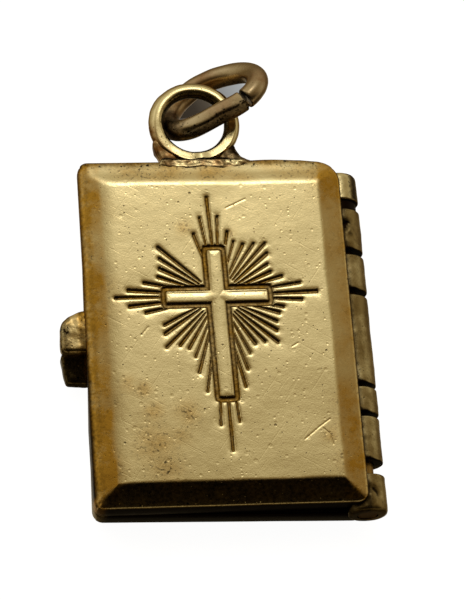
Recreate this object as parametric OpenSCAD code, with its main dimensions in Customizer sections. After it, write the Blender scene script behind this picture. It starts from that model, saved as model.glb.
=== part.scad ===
// Opening book charm of gold, lying on its plain cover.
// X runs to the hinge, Y to the hanging ring, Z up. The origin is the middle of the face it lies on.

/* [Covers] */
// Width of a cover from its fore-edge to its hinge edge
cover_w = 11.2; // [10:0.1:13]
// Height of a cover from its tail to its head
cover_h = 15.2; // [14.8:0.1:17]
// Thickness of the closed book
book_t = 2.5; // [2.3:0.1:3]
// Slit between the rims of the closed covers
rim_gap = 0.06; // [0.04:0.01:0.12]
// Width of the bevel round the face of a cover
bevel_w = 1; // [0.6:0.05:1.4]
// Height of that bevel
bevel_h = 0.25; // [0.15:0.05:0.4]
// Thickness of the face of a cover
face_t = 0.5; // [0.42:0.02:0.6]
// Thickness of the side walls of a cover
wall_t = 0.5; // [0.4:0.05:0.6]
// Radius of the corners of a cover
corner_r = 0.45; // [0.2:0.05:0.7]
// Distance that the plain cover is set back from the fore-edge of the engraved one
fore_step = 0.18; // [0:0.02:0.3]

/* [Hinge] */
// Outer radius of the hinge barrel
barrel_r = 0.85; // [0.75:0.01:0.9]
// Distance of the hinge axis outside the hinge edge of the covers
axis_out = 0.03; // [0.03:0.01:0.1]
// Radius of the hinge pin
pin_r = 0.4; // [0.3:0.01:0.45]
// Running clearance round the pin
pin_clear = 0.04; // [0.03:0.01:0.08]
// Clearance between a knuckle and the hollow of the other cover
knuckle_clear = 0.06; // [0.04:0.01:0.1]

/* [Engraving] */
// Depth of the engraved lines
cut_depth = 0.08; // [0.04:0.01:0.12]
// Width of a ray at its tip
ray_w = 0.15; // [0.08:0.01:0.2]
// Width of the bars of the raised cross
bar_w = 0.52; // [0.4:0.02:0.7]
// Width of the groove round the cross
outline_w = 0.26; // [0.15:0.01:0.3]

/* [Hanging ring] */
// Radius of the centre line of the soldered ring
bail_r = 1.62; // [1.6:0.01:1.7]
// Radius of its wire
bail_wire_r = 0.33; // [0.25:0.01:0.35]
// Mean radius of the centre line of the jump ring
jump_r = 1.82; // [1.78:0.01:1.86]
// Share of that radius by which the jump ring is pulled long
jump_pull = 0.166; // [0.14:0.002:0.17]
// Radius of its wire
jump_wire_r = 0.47; // [0.4:0.01:0.48]
// Angle of the opening between the jump ring's ends
jump_open = 4; // [3:1:8]

/* [Thumb pieces] */
// Distance that the thumb pieces stand out from the fore-edge
lug_out = 1; // [0.6:0.05:1.2]
// Radius of their rounded edge
lug_round = 0.3; // [0.1:0.05:0.35]

/* [Hidden] */
$fn = 96;

edge_x = cover_w / 2;
edge_y = cover_h / 2;
cover_t = (book_t - rim_gap) / 2;
axis_x = edge_x + axis_out;
axis_z = book_t / 2;
scallop_r = barrel_r + knuckle_clear;
bore_r = pin_r + pin_clear;

// Knuckles from head to tail, turn by turn on the plain and the engraved cover: north end, south end
knuckles = [
    [7.22, 5.93],
    [5.46, 3.63],
    [3.38, 1.80],
    [1.55, -2.36],
    [-2.54, -3.66],
    [-3.84, -5.71],
    [-6.33, -7.90]
];
last = len(knuckles) - 1;
pin_short = 0.03;
past = 1;

// The cross: its crossing lies above the middle of the face, and its foot is long
cross_x = 0;
cross_y = 1.4;
cross_arm = 2.1;
cross_head = 2.02;
cross_foot = 4.37;

// Rays round the cross: angle from the hinge side, distance of the tip from the crossing
rays = [
    [87, 3.65], [79, 3.0], [72, 2.62], [63, 2.65], [55, 2.9], [48, 3.22], [41, 2.92], [33, 2.62],
    [25, 2.55], [17.5, 2.9], [9, 3.56], [2, 4.2], [-3.5, 3.55], [-11, 2.8], [-17.5, 2.67],
    [-26.5, 2.7], [-34, 2.87], [-42, 3.2], [-49, 2.8], [-57, 2.6], [-66, 2.85], [-73, 3.45],
    [-78, 4.15], [-85, 5.6], [-89, 6.8], [-93, 5.7], [-100, 4.3], [-107, 3.55], [-113, 2.95],
    [-121, 2.72], [-129, 2.82], [-136, 3.26], [-145, 2.9], [-152, 2.7], [-167.5, 3.2], [-174, 3.8],
    [180, 4.36], [175, 3.82], [168, 3.2], [160, 2.7], [152, 2.76], [144, 3.0], [137, 3.34],
    [107, 3.0], [99, 3.65], [92.5, 4.55]
];
ray_start = 0.95;
ray_root_w = 0.07;

bail_x = -0.38;
bail_off = 0.05;
bail_y = edge_y + bail_r + bail_wire_r + bail_off;
bail_z = 1.75;
foot_t = 0.6;
foot_half = 2.05;
foot_waist = 1.6;
foot_root = 0.8;
foot_rise = 0.45;
foot_top = 0.95;
foot_sink = 0.3;

// The jump ring: place, lean, turns of its split and of its long way, and how far it is bent three-sided
jump_x = 0.45;
jump_y = edge_y + 3.19;
jump_z = 1.72;
jump_lean = 44.8;
jump_turn = 134.4;
jump_split = 193;
jump_pull_turn = 55;
jump_bend = 0.062;
jump_bend_turn = -27;
jump_steps = 72;
jump_sides = 16;
small_turn = 0.5;

// Outline of the two thumb pieces along the fore-edge: places in Y of the corners. The lower piece
// starts under the upper one.
lug_north = 1.12;
lug_shoulder = 0.72;
lug_meet = -0.8;
lug_lap = 0.3;
lug_slant = -1.1;
lug_south = -1.75;
lug_taper = 0.2;
lug_top = 2.12;
lug_under = 0.38;
lug_drop = 0.35;

module rounded_plate(w, h, r) {
    square([w - 2 * r, h], center = true);
    square([w, h - 2 * r], center = true);
    for (sx = [-1, 1], sy = [-1, 1])
        translate([sx * (w / 2 - r), sy * (h / 2 - r)]) circle(r);
}

// Bevelled profile of a cover across a given width, face down, with its first side set back by a step
module bevel_profile(w, step = 0) {
    polygon([
        [-w / 2 + bevel_w, 0], [w / 2 - bevel_w, 0], [w / 2, bevel_h],
        [w / 2, cover_t], [-w / 2 + step, cover_t], [-w / 2 + step, bevel_h]
    ]);
}

// A cover as a hollow tray with its bevelled face down at Z 0, its fore-edge set back by a step
module cover_tray(step = 0) {
    difference() {
        intersection() {
            translate([step / 2, 0])
                linear_extrude(cover_t) rounded_plate(cover_w - step, cover_h, corner_r);
            rotate([90, 0, 0]) linear_extrude(cover_h, center = true) bevel_profile(cover_w, step);
            rotate([90, 0, 90]) linear_extrude(cover_w, center = true) bevel_profile(cover_h);
        }
        translate([step / 2, 0, face_t])
            linear_extrude(cover_t)
                rounded_plate(cover_w - step - 2 * wall_t, cover_h - 2 * wall_t, corner_r / 2);
    }
}

// A rod along the hinge axis between two places in Y
module axis_rod(north, south, r) {
    translate([axis_x, south, axis_z]) rotate([-90, 0, 0]) cylinder(r = r, h = north - south);
}

// The knuckles that one cover carries: first is 0 for the plain cover, 1 for the engraved one
module knuckle_set(first) {
    for (i = [first : 2 : last])
        axis_rod(knuckles[i][0], knuckles[i][1], barrel_r);
}

// The room that the knuckles of the other cover turn in
module scallops(first) {
    for (i = [first : 2 : last]) {
        north = i == 0 ? knuckles[0][0] + knuckle_clear : knuckles[i - 1][1];
        south = i == last ? -edge_y - past : knuckles[i + 1][0];
        axis_rod(north, south, scallop_r);
    }
}

module bore() {
    axis_rod(knuckles[0][0] + knuckle_clear, -edge_y - past, bore_r);
}

module cross_plan(grow) {
    translate([cross_x - bar_w / 2 - grow, cross_y - cross_foot - grow])
        square([bar_w + 2 * grow, cross_head + cross_foot + 2 * grow]);
    translate([cross_x - cross_arm - grow, cross_y - bar_w / 2 - grow])
        square([2 * cross_arm + 2 * grow, bar_w + 2 * grow]);
}

module ray_plan(turn, reach) {
    translate([cross_x, cross_y]) rotate(turn)
        polygon([
            [ray_start, -ray_root_w / 2], [reach, -ray_w / 2],
            [reach, ray_w / 2], [ray_start, ray_root_w / 2]
        ]);
}

// Engraved lines: the rays outside the cross, and the groove round it
module engraving() {
    translate([0, 0, book_t - cut_depth]) linear_extrude(2 * cut_depth) {
        difference() {
            for (ray = rays) ray_plan(ray[0], ray[1]);
            cross_plan(outline_w);
        }
        difference() {
            cross_plan(outline_w);
            cross_plan(0);
        }
    }
}

// One splayed solder foot, on the hinge side of the ring
module bail_foot() {
    linear_extrude(foot_t)
        polygon([
            [foot_root, -foot_sink], [foot_half, -foot_sink], [foot_half, 0],
            [foot_waist, foot_rise], [foot_waist, foot_top], [foot_root, foot_rise / 2]
        ]);
}

// Hanging ring, soldered to the head of the cover on its feet
module bail() {
    translate([bail_x, bail_y, bail_z])
        rotate_extrude() translate([bail_r, 0]) circle(bail_wire_r);
    difference() {
        translate([bail_x, edge_y, bail_z - foot_t / 2]) {
            bail_foot();
            mirror([1, 0, 0]) bail_foot();
        }
        translate([bail_x, bail_y, 0]) cylinder(r = bail_r, h = book_t);
    }
}

// Section of a thumb piece, with its outer upper edge rounded: place of its foot and top in Z
module lug_section(low, high) {
    out = edge_x + lug_out;
    translate([-out, low]) square([lug_out + wall_t / 2, high - low - lug_round]);
    translate([-out + lug_round, low]) square([lug_out + wall_t / 2 - lug_round, high - low]);
    translate([-out + lug_round, high - lug_round]) circle(lug_round);
}

module upper_lug() {
    low = book_t - cover_t;
    out = edge_x + lug_out;
    root = edge_x - wall_t / 2;
    intersection() {
        translate([0, 0, low]) linear_extrude(lug_top - low)
            polygon([
                [-root, lug_north], [-edge_x, lug_north], [-out + lug_taper, lug_shoulder],
                [-out, lug_shoulder - lug_taper], [-out, lug_meet], [-root, lug_meet]
            ]);
        rotate([90, 0, 0]) linear_extrude(cover_h, center = true) lug_section(low, lug_top);
    }
}

// The lower thumb piece slopes down towards the tail
module lower_lug() {
    out = edge_x + lug_out;
    root = edge_x - fore_step - wall_t / 2;
    north = lug_meet + lug_lap;
    intersection() {
        translate([0, 0, lug_under]) linear_extrude(cover_t - lug_under)
            polygon([
                [-root, north], [-out, north], [-out, lug_slant],
                [-out + lug_taper, lug_south], [-root, lug_south]
            ]);
        rotate([90, 0, 90]) linear_extrude(4 * out, center = true)
            polygon([
                [lug_south, lug_under], [north, lug_under],
                [north, cover_t], [lug_south, cover_t - lug_drop]
            ]);
    }
}

module engraved_cover() {
    color("goldenrod") difference() {
        union() {
            difference() {
                translate([0, 0, book_t]) mirror([0, 0, 1]) cover_tray();
                scallops(0);
            }
            knuckle_set(1);
            upper_lug();
            bail();
        }
        bore();
        engraving();
    }
}

module plain_cover() {
    color("darkgoldenrod") difference() {
        union() {
            difference() {
                cover_tray(fore_step);
                scallops(1);
            }
            knuckle_set(0);
            lower_lug();
        }
        bore();
    }
}

module hinge_pin() {
    color("peru") axis_rod(knuckles[0][0] - pin_short, knuckles[last][1] + pin_short, pin_r);
}

// Middle of the jump ring's wire at a turn round its centre. Years of wear have bent it out of round.
function jump_middle(turn) =
    jump_r * [cos(turn), sin(turn), 0] * (
        1 + jump_pull * cos(2 * (turn - jump_pull_turn)) + jump_bend * cos(3 * (turn - jump_bend_turn))
    );

// Way out of the ring at a turn, square to its wire
function jump_outward(turn) =
    let (along = jump_middle(turn + small_turn) - jump_middle(turn - small_turn))
    [along.y, -along.x, 0] / norm(along);

module jump_ring() {
    sweep = 360 - jump_open;
    spots = [
        for (i = [0 : jump_steps], j = [0 : jump_sides - 1])
            let (
                turn = jump_split + jump_open / 2 + i * sweep / jump_steps,
                side = j * 360 / jump_sides
            )
            jump_middle(turn) + jump_wire_r * (cos(side) * jump_outward(turn) + [0, 0, sin(side)])
    ];
    sides = [
        for (i = [0 : jump_steps - 1], j = [0 : jump_sides - 1])
            let (
                here = i * jump_sides,
                after = here + jump_sides,
                next = (j + 1) % jump_sides
            )
            [here + j, here + next, after + next, after + j]
    ];
    first_end = [for (j = [jump_sides - 1 : -1 : 0]) j];
    last_end = [for (j = [0 : jump_sides - 1]) jump_steps * jump_sides + j];
    color("sandybrown") translate([jump_x, jump_y, jump_z]) rotate([0, jump_lean, jump_turn])
        polyhedron(points = spots, faces = concat(sides, [first_end, last_end]));
}

engraved_cover();
plain_cover();
hinge_pin();
jump_ring();
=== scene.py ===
import math

import bmesh
import bpy
import numpy as np
from mathutils import Matrix, Vector, noise


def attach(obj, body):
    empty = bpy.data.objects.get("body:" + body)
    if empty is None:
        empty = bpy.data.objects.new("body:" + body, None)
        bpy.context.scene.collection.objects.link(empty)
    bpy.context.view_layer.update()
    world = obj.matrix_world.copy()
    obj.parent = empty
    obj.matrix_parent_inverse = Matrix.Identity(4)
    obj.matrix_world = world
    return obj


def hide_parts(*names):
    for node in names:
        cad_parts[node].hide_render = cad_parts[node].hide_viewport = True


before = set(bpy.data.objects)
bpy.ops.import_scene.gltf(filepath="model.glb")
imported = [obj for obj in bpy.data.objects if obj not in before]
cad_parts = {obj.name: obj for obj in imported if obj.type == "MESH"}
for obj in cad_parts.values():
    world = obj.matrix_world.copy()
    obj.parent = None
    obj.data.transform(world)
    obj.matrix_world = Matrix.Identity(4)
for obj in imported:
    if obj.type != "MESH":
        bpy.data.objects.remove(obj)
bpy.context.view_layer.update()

# The frame is in metres. The charm is modelled in millimetres, which its maker works in, and each
# finished mesh is scaled into the frame.
MM = 0.001
scene = bpy.context.scene


# The camera looks down from above the tail and a little from the fore-edge side, as in the photograph.
eye = Vector((-16.865, -44.005, 112.912))
aim = Vector((0.546, 1.215, 2.5))
roll = math.radians(18.296)
lens_mm = 175.293
nearest_m = 0.002
farthest_m = 5
back = (eye - aim).normalized()
level = Vector((0, 0, 1)).cross(back).normalized()
right = Matrix.Rotation(roll, 3, back) @ level
turn = Matrix((right, back.cross(right), back)).transposed()
camera_data = bpy.data.cameras.new("camera")
camera_data.lens = lens_mm
camera_data.clip_start = nearest_m
camera_data.clip_end = farthest_m
camera = bpy.data.objects.new("camera", camera_data)
camera.matrix_world = Matrix.Translation(eye * MM) @ turn.to_4x4()
scene.collection.objects.link(camera)
scene.camera = camera
scene.view_settings.view_transform = "Standard"


# The floor is a sheet of white card, lit so evenly that it loses its shadows. The soft dark one that the two
# rings stand in is a painted shadow in the card's colour. The metal doesn't mirror it: the sky holds what
# the metal mirrors below.
floor_half = 900
floor_white = (0.5, 0.5, 0.5, 1)
floor_glow = 0.96
shadow_middle = (0.52, 11.58, 0)
shadow_turn = math.radians(23)
shadow_half = (2.15, 0.58, 1.0)
shadow_edge = (0.8, 1.15)
shadow_tints = [
    (0.0, (0.030, 0.022, 0.014)), (0.35, (0.045, 0.035, 0.025)), (0.5, (0.085, 0.068, 0.048)),
    (0.62, (0.25, 0.25, 0.24)), (1.0, (0.42, 0.44, 0.45)),
]


def put(tree, kind, inputs=None, **settings):
    """Adds a node to a tree. Its inputs are plain values or the outputs of other nodes."""
    node = tree.nodes.new(kind)
    for name, value in settings.items():
        setattr(node, name, value)
    for key, value in (inputs or {}).items():
        if isinstance(value, bpy.types.NodeSocket):
            tree.links.new(value, node.inputs[key])
        else:
            node.inputs[key].default_value = value
    return node


def stretched(tree, value, low, high, smooth=False, most=1.0):
    """Stretches a value so that low becomes 0 and high becomes the most, and holds it between them."""
    kind = "SMOOTHSTEP" if smooth else "LINEAR"
    inputs = {0: value, 1: low, 2: high, 4: most}
    return put(tree, "ShaderNodeMapRange", inputs, interpolation_type=kind).outputs[0]


def mixed(tree, share, first, second):
    """Mixes two colours. A share of 0 gives the first, and 1 the second."""
    return put(tree, "ShaderNodeMix", {0: share, 6: first, 7: second}, data_type="RGBA").outputs[2]


def ramp(tree, factor, stops):
    """Adds a colour ramp with stops of place and colour, or place and grey, and gives its output."""
    node = put(tree, "ShaderNodeValToRGB", {"Fac": factor})
    elements = node.color_ramp.elements
    while len(elements) < len(stops):
        elements.new(0.5)
    for element, (place, colour) in zip(elements, stops):
        element.position = place
        element.color = (*colour, 1) if isinstance(colour, tuple) else (colour, colour, colour, 1)
    return node.outputs["Color"]


bm = bmesh.new()
bmesh.ops.create_grid(bm, x_segments=2, y_segments=2, size=floor_half * MM)
floor_mesh = bpy.data.meshes.new("floor")
bm.to_mesh(floor_mesh)
bm.free()
floor = bpy.data.objects.new("floor", floor_mesh)
scene.collection.objects.link(floor)
floor_paint = bpy.data.materials.new("white card")
floor_paint.use_nodes = True
floor_mesh.materials.append(floor_paint)
shadow = floor_paint.node_tree
card = shadow.nodes["Principled BSDF"]
card.inputs["Roughness"].default_value = 1
card.inputs["Specular IOR Level"].default_value = 0
card.inputs["Emission Strength"].default_value = floor_glow
# The painted shadow: the card's glow and colour are darkened in an oval under the two rings.
spot = put(shadow, "ShaderNodeTexCoord").outputs["Object"]
in_shadow = {
    "Vector": spot, "Location": Vector(shadow_middle) * MM, "Rotation": (0, 0, shadow_turn),
    "Scale": Vector(shadow_half) * MM,
}
spot = put(shadow, "ShaderNodeMapping", in_shadow, vector_type="TEXTURE").outputs[0]
from_middle = put(shadow, "ShaderNodeVectorMath", {0: spot}, operation="LENGTH").outputs["Value"]
lit = stretched(shadow, from_middle, *shadow_edge, smooth=True)
along_it = put(shadow, "ShaderNodeSeparateXYZ", {0: spot}).outputs["X"]
shade = ramp(shadow, stretched(shadow, along_it, -1.0, 1.0), shadow_tints)
shadow.links.new(mixed(shadow, lit, shade, (1, 1, 1, 1)), card.inputs["Emission Color"])
shadow.links.new(mixed(shadow, lit, (0, 0, 0, 1), floor_white), card.inputs["Base Color"])
floor.visible_glossy = False
floor.visible_diffuse = False


# The studio: a soft window beyond the head, a dimmer one on the fore-edge side, black above and behind
# the camera, and a dim warm room with a pale table. Worn metal shows little but what it mirrors, so this
# is a sky: greys by the degrees from the window's middle, and by the height in the room, -1 to 1.
window_middle = (0.11, 0.55, 0.83)
window_reach = 0.8
window_glow = [(0, 0.82), (5, 0.765), (9, 0.57), (12, 0.44), (15, 0.30), (20, 0.17), (28, 0.08), (36, 0.0)]
side_middle = (-0.58, 0.56, 0.59)
side_reach = 0.84
side_glow = 0.3
room_ahead = [
    (-1.0, 0.04), (-0.96, 0.36), (-0.84, 0.34), (-0.62, 0.16), (-0.3, 0.14), (0.0, 0.34), (0.26, 0.48),
    (0.5, 0.34), (0.74, 0.20), (0.88, 0.15), (0.96, 0.02), (1.0, 0.004),
]
room_behind = [
    (-1.0, 0.03), (-0.4, 0.02), (-0.2, 0.05), (0.0, 0.12), (0.11, 0.42), (0.22, 0.12), (0.36, 0.02),
    (0.5, 0.005), (1.0, 0.003),
]
ahead_from = (-0.25, 0.12)
sky_tints = [
    (0.0, (0.006, 0.004, 0.002)), (0.2, (0.205, 0.160, 0.090)), (0.45, (0.455, 0.440, 0.375)),
    (0.75, (0.755, 0.765, 0.780)), (1.0, (1.0, 1.03, 1.14)),
]
white_backdrop = (0.97, 0.97, 0.97, 1)


def math_node(tree, operation, *values, clamp=False):
    """Adds a Math node and gives its output."""
    node = put(tree, "ShaderNodeMath", dict(enumerate(values)), operation=operation, use_clamp=clamp)
    return node.outputs[0]


def squarely(middle):
    """How squarely each direction in the sky faces a place in it: 1 where it faces it straight on."""
    return put(sky, "ShaderNodeVectorMath", {0: facing, 1: middle}, operation="DOT_PRODUCT").outputs["Value"]


world = bpy.data.worlds.new("studio")
world.use_nodes = True
scene.world = world
sky = world.node_tree
sky.nodes.clear()
facing = put(sky, "ShaderNodeTexCoord").outputs["Generated"]
axes = put(sky, "ShaderNodeSeparateXYZ", {0: facing})
to_window = stretched(sky, squarely(window_middle), window_reach, 1.0)
glow_stops = []
for from_middle, grey in window_glow:
    glow_stops.append(((math.cos(math.radians(from_middle)) - window_reach) / (1 - window_reach), grey))
window = ramp(sky, to_window, sorted(glow_stops))
height = stretched(sky, axes.outputs["Z"], -1.0, 1.0)
ahead = ramp(sky, height, [((z + 1) / 2, grey) for z, grey in room_ahead])
behind = ramp(sky, height, [((z + 1) / 2, grey) for z, grey in room_behind])
room = mixed(sky, stretched(sky, axes.outputs["Y"], *ahead_from, smooth=True), behind, ahead)
side_window = stretched(sky, squarely(side_middle), side_reach, 1.0, smooth=True, most=side_glow)
brightness = math_node(sky, "ADD", math_node(sky, "ADD", window, room), side_window)
seen = put(sky, "ShaderNodeLightPath").outputs["Is Camera Ray"]
shown = mixed(sky, seen, ramp(sky, brightness, sky_tints), white_backdrop)
background = put(sky, "ShaderNodeBackground", {"Color": shown, "Strength": 1.0})
put(sky, "ShaderNodeOutputWorld", {"Surface": background.outputs[0]})

lamp_place = Vector((40, 190, 285))
lamp_size = (60, 40)
lamp_watts = 0.02
lamp_tint = (1.0, 0.98, 0.94)
lamp = bpy.data.lights.new("head_window", "AREA")
lamp.shape = "RECTANGLE"
lamp.size = lamp_size[0] * MM
lamp.size_y = lamp_size[1] * MM
lamp.energy = lamp_watts
lamp.color = lamp_tint
held = bpy.data.objects.new("head_window", lamp)
lamp_aim = lamp_place.to_track_quat("Z", "Y").to_matrix().to_4x4()
held.matrix_world = Matrix.Translation(lamp_place * MM) @ lamp_aim
scene.collection.objects.link(held)


# Worn gold, shared by all pieces: low-carat yellow gold, polished long ago. It has fine pits, hairline
# scratches, a thin uneven brown tarnish, and black-brown dirt where no polishing cloth reaches. The pieces
# also paint shade in the same black-brown and brown, and a highlight by leaving the gold bare.
NUMBER = "NodeSocketFloat"
COLOUR = "NodeSocketColor"
POINT = "NodeSocketVector"
pit_slope = (1.0, 0.35)
hairline_edge = (0.66, 0.74)
hairline_detail = 1.0
hairline_rough = 0.5
cloud_rough = 0.6


def group_of(name, ins, outs):
    """Starts a shader node group with named sockets, and gives the group, its input and its output node."""
    made = bpy.data.node_groups.new(name, "ShaderNodeTree")
    for label, kind, value in ins:
        socket = made.interface.new_socket(name=label, in_out="INPUT", socket_type=kind)
        socket.default_value = value
    for label, kind in outs:
        made.interface.new_socket(name=label, in_out="OUTPUT", socket_type=kind)
    return made, made.nodes.new("NodeGroupInput"), made.nodes.new("NodeGroupOutput")


pits, given, result = group_of(
    "pits",
    [
        ("Place", POINT, (0, 0, 0)), ("Per millimetre", NUMBER, 3), ("Width", NUMBER, 0.12),
        ("Share", NUMBER, 0.3),
    ],
    [("Depth", NUMBER)],
)
of_pits = given.outputs
cells = put(pits, "ShaderNodeTexVoronoi", {"Vector": of_pits["Place"], "Scale": of_pits["Per millimetre"]})
picked = put(pits, "ShaderNodeSeparateColor", {0: cells.outputs["Color"]})
chosen = math_node(pits, "LESS_THAN", picked.outputs[0], of_pits["Share"])
reach = math_node(pits, "MULTIPLY_ADD", picked.outputs[1], of_pits["Width"], of_pits["Width"])
near = math_node(pits, "DIVIDE", cells.outputs["Distance"], reach)
near = stretched(pits, near, *pit_slope, smooth=True)
pits.links.new(math_node(pits, "MULTIPLY", near, chosen), result.inputs["Depth"])

hairlines, given, result = group_of(
    "hairlines",
    [
        ("Place", POINT, (0, 0, 0)), ("Turn", NUMBER, 0.5), ("Stretch", NUMBER, 0.06),
        ("Per millimetre", NUMBER, 9),
    ],
    [("Depth", NUMBER)],
)
of_lines = given.outputs
turned = put(hairlines, "ShaderNodeVectorRotate", {"Vector": of_lines["Place"], "Angle": of_lines["Turn"]})
long_way = put(hairlines, "ShaderNodeCombineXYZ", {0: of_lines["Stretch"], 1: 1.0, 2: 1.0})
squeezed = {0: turned.outputs[0], 1: long_way.outputs[0]}
drawn = put(hairlines, "ShaderNodeVectorMath", squeezed, operation="MULTIPLY")
lines = put(hairlines, "ShaderNodeTexNoise", {
    "Vector": drawn.outputs[0], "Scale": of_lines["Per millimetre"], "Detail": hairline_detail,
    "Roughness": hairline_rough,
})
thin = stretched(hairlines, lines.outputs[0], *hairline_edge, smooth=True)
hairlines.links.new(thin, result.inputs["Depth"])

worn_gold, given, result = group_of(
    "worn gold",
    [
        ("Gold", COLOUR, (0.9, 0.75, 0.42, 1)), ("Tarnish", COLOUR, (0.4, 0.22, 0.06, 1)),
        ("Dirt", COLOUR, (0.013, 0.006, 0.002, 1)), ("Tarnish and painted light share", NUMBER, 0.2),
        ("Dirt and shade share", NUMBER, 0.0), ("Polish", NUMBER, 0.27), ("Pitting", NUMBER, 0.3),
        ("Scratching", NUMBER, 0.3),
    ],
    [("Color", COLOUR), ("Roughness", NUMBER), ("Height", NUMBER)],
)
of_gold = given.outputs
place = put(worn_gold, "ShaderNodeTexCoord").outputs["Object"]
place = put(worn_gold, "ShaderNodeVectorMath", {0: place, 3: 1 / MM}, operation="SCALE").outputs[0]


def cloud(per_mm, low, high, detail=3.0):
    """Soft noise in the metal, so many clouds a millimetre, stretched so that low and high become 0 and 1."""
    made = put(worn_gold, "ShaderNodeTexNoise", {
        "Vector": place, "Scale": per_mm, "Detail": detail, "Roughness": cloud_rough,
    })
    return stretched(worn_gold, made.outputs[0], low, high)


def placed(group, values):
    """Places a group of nodes in the worn gold, with values for its sockets, and gives its output."""
    return put(worn_gold, "ShaderNodeGroup", {"Place": place, **values}, node_tree=group).outputs[0]


def pitted_by(per_mm, width, share):
    """Pits of one size: how many cells a millimetre, how wide, and the share of the cells with a pit."""
    return placed(pits, {"Per millimetre": per_mm, "Width": width, "Share": share})


def product(first, second, clamp=False):
    """One value of the metal times another."""
    return math_node(worn_gold, "MULTIPLY", first, second, clamp=clamp)


def larger(first, second):
    """The larger of two values of the metal."""
    return math_node(worn_gold, "MAXIMUM", first, second)


def summed(start, parts):
    """A start value with parts of the metal added to it, each by its weight."""
    for part, weight in parts:
        start = math_node(worn_gold, "MULTIPLY_ADD", part, weight, start)
    return start


# Each cloud in the metal, from broad stains to fine grain
broad = cloud(per_mm=0.55, low=0.35, high=0.70)
mottled = cloud(per_mm=2.4, low=0.35, high=0.75)
specks = cloud(per_mm=6.5, low=0.55, high=0.66, detail=2.0)
grain = cloud(per_mm=16.0, low=0.3, high=0.7, detail=2.0)
crusts = cloud(per_mm=7.0, low=0.32, high=0.68)

# Tarnish, in patches. The share that a piece gives also carries brown painted shade and a painted highlight.
least_patch = 0.35
patchy = summed(least_patch, ((broad, 0.6), (mottled, 0.45), (grain, 0.25)))
tarnish_and_painted_light_mask = product(patchy, of_gold["Tarnish and painted light share"], clamp=True)
metal = mixed(worn_gold, tarnish_and_painted_light_mask, of_gold["Gold"], of_gold["Tarnish"])

# Pits, dents and hairline scratches
small_pits = (6.5, 0.13, 0.17)
large_pits = (2.1, 0.08, 0.14)
small_dents = (5.3, 0.22, 0.14)
large_dents = (3.1, 0.20, 0.16)
scratch_turns = [(0.55, 0.05, 8.0), (2.2, 0.04, 7.0), (1.3, 0.08, 12.0)]
dark_pits = product(larger(pitted_by(*small_pits), pitted_by(*large_pits)), of_gold["Pitting"], clamp=True)
dents = larger(pitted_by(*large_dents), pitted_by(*small_dents))
scratched = 0.0
for turned_by, stretch, per_mm in scratch_turns:
    drawn = placed(hairlines, {"Turn": turned_by, "Stretch": stretch, "Per millimetre": per_mm})
    scratched = larger(drawn, scratched)
scratched = product(scratched, of_gold["Scratching"])

# Dirt: a film that crusts where it is half worn away, and specks where there is a little of it. The share
# that a piece gives also carries painted shade, drawn as the same film.
film_lag = 0.18
crust_reach = 2.0
crust_level = -1.1
speck_onset = 3.0
bare_onset = 1.6
dirt_and_shade_share = of_gold["Dirt and shade share"]
half_worn = math_node(worn_gold, "MULTIPLY_ADD", dirt_and_shade_share, -1.0, 1.0, clamp=True)
half_worn = product(half_worn, dirt_and_shade_share)
crusted = math_node(worn_gold, "MULTIPLY_ADD", crusts, crust_reach, crust_level)
film = math_node(worn_gold, "MULTIPLY_ADD", dirt_and_shade_share, 1 + film_lag, -film_lag, clamp=True)
dirt_and_shade_mask = math_node(worn_gold, "MULTIPLY_ADD", half_worn, crusted, film, clamp=True)
some_dirt = product(dirt_and_shade_share, speck_onset, clamp=True)
bare = product(math_node(worn_gold, "SUBTRACT", 1.0, tarnish_and_painted_light_mask), bare_onset, clamp=True)
speckled = product(product(some_dirt, bare), specks)
in_tarnish = product(specks, tarnish_and_painted_light_mask)
for part, weight in ((speckled, 1.1), (in_tarnish, 0.25), (dark_pits, 0.8)):
    dirt_and_shade_mask = larger(dirt_and_shade_mask, product(part, weight))
metal = mixed(worn_gold, dirt_and_shade_mask, metal, of_gold["Dirt"])

# What the metal puts out: its colour, how dull it is, and its relief
dullest = 0.95
dull = summed(of_gold["Polish"], ((mottled, 0.06), (tarnish_and_painted_light_mask, 0.10), (dirt_and_shade_mask, 0.08)))
dented = product(dents, of_gold["Pitting"])
relief = product(dark_pits, -1.0)
relief = summed(relief, ((dented, -0.3), (scratched, -0.22), (grain, 0.05), (mottled, 0.12)))
worn_gold.links.new(metal, result.inputs["Color"])
worn_gold.links.new(math_node(worn_gold, "MINIMUM", dull, dullest), result.inputs["Roughness"])
worn_gold.links.new(relief, result.inputs["Height"])

relief_mm = 0.014


def gold_finish(name, gold, tarnish_and_painted_light, tarnish_share, polish, pitting, scratching):
    """A material of worn gold. The mesh's own attributes for tarnish and for dirt add to the shares given
    here;
    both also carry painted shade, and the tarnish a painted highlight where it is taken away.
    """
    made = bpy.data.materials.new(name)
    made.use_nodes = True
    tree = made.node_tree
    shader = tree.nodes["Principled BSDF"]
    shader.inputs["Metallic"].default_value = 1.0
    brown = put(tree, "ShaderNodeAttribute", attribute_name="tarnish_and_painted_light").outputs["Fac"]
    black = put(tree, "ShaderNodeAttribute", attribute_name="dirt_and_shade").outputs["Fac"]
    worn = put(tree, "ShaderNodeGroup", node_tree=worn_gold)
    values = {
        "Gold": (*gold, 1), "Tarnish": (*tarnish_and_painted_light, 1), "Polish": polish, "Pitting": pitting,
        "Scratching": scratching,
    }
    for label, value in values.items():
        worn.inputs[label].default_value = value
    tree.links.new(math_node(tree, "ADD", brown, tarnish_share), worn.inputs["Tarnish and painted light share"])
    tree.links.new(black, worn.inputs["Dirt and shade share"])
    in_relief = {"Strength": 1.0, "Distance": relief_mm * MM, "Height": worn.outputs["Height"]}
    bump = put(tree, "ShaderNodeBump", in_relief)
    tree.links.new(worn.outputs["Color"], shader.inputs["Base Color"])
    tree.links.new(worn.outputs["Roughness"], shader.inputs["Roughness"])
    tree.links.new(bump.outputs["Normal"], shader.inputs["Normal"])
    return made


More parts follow.
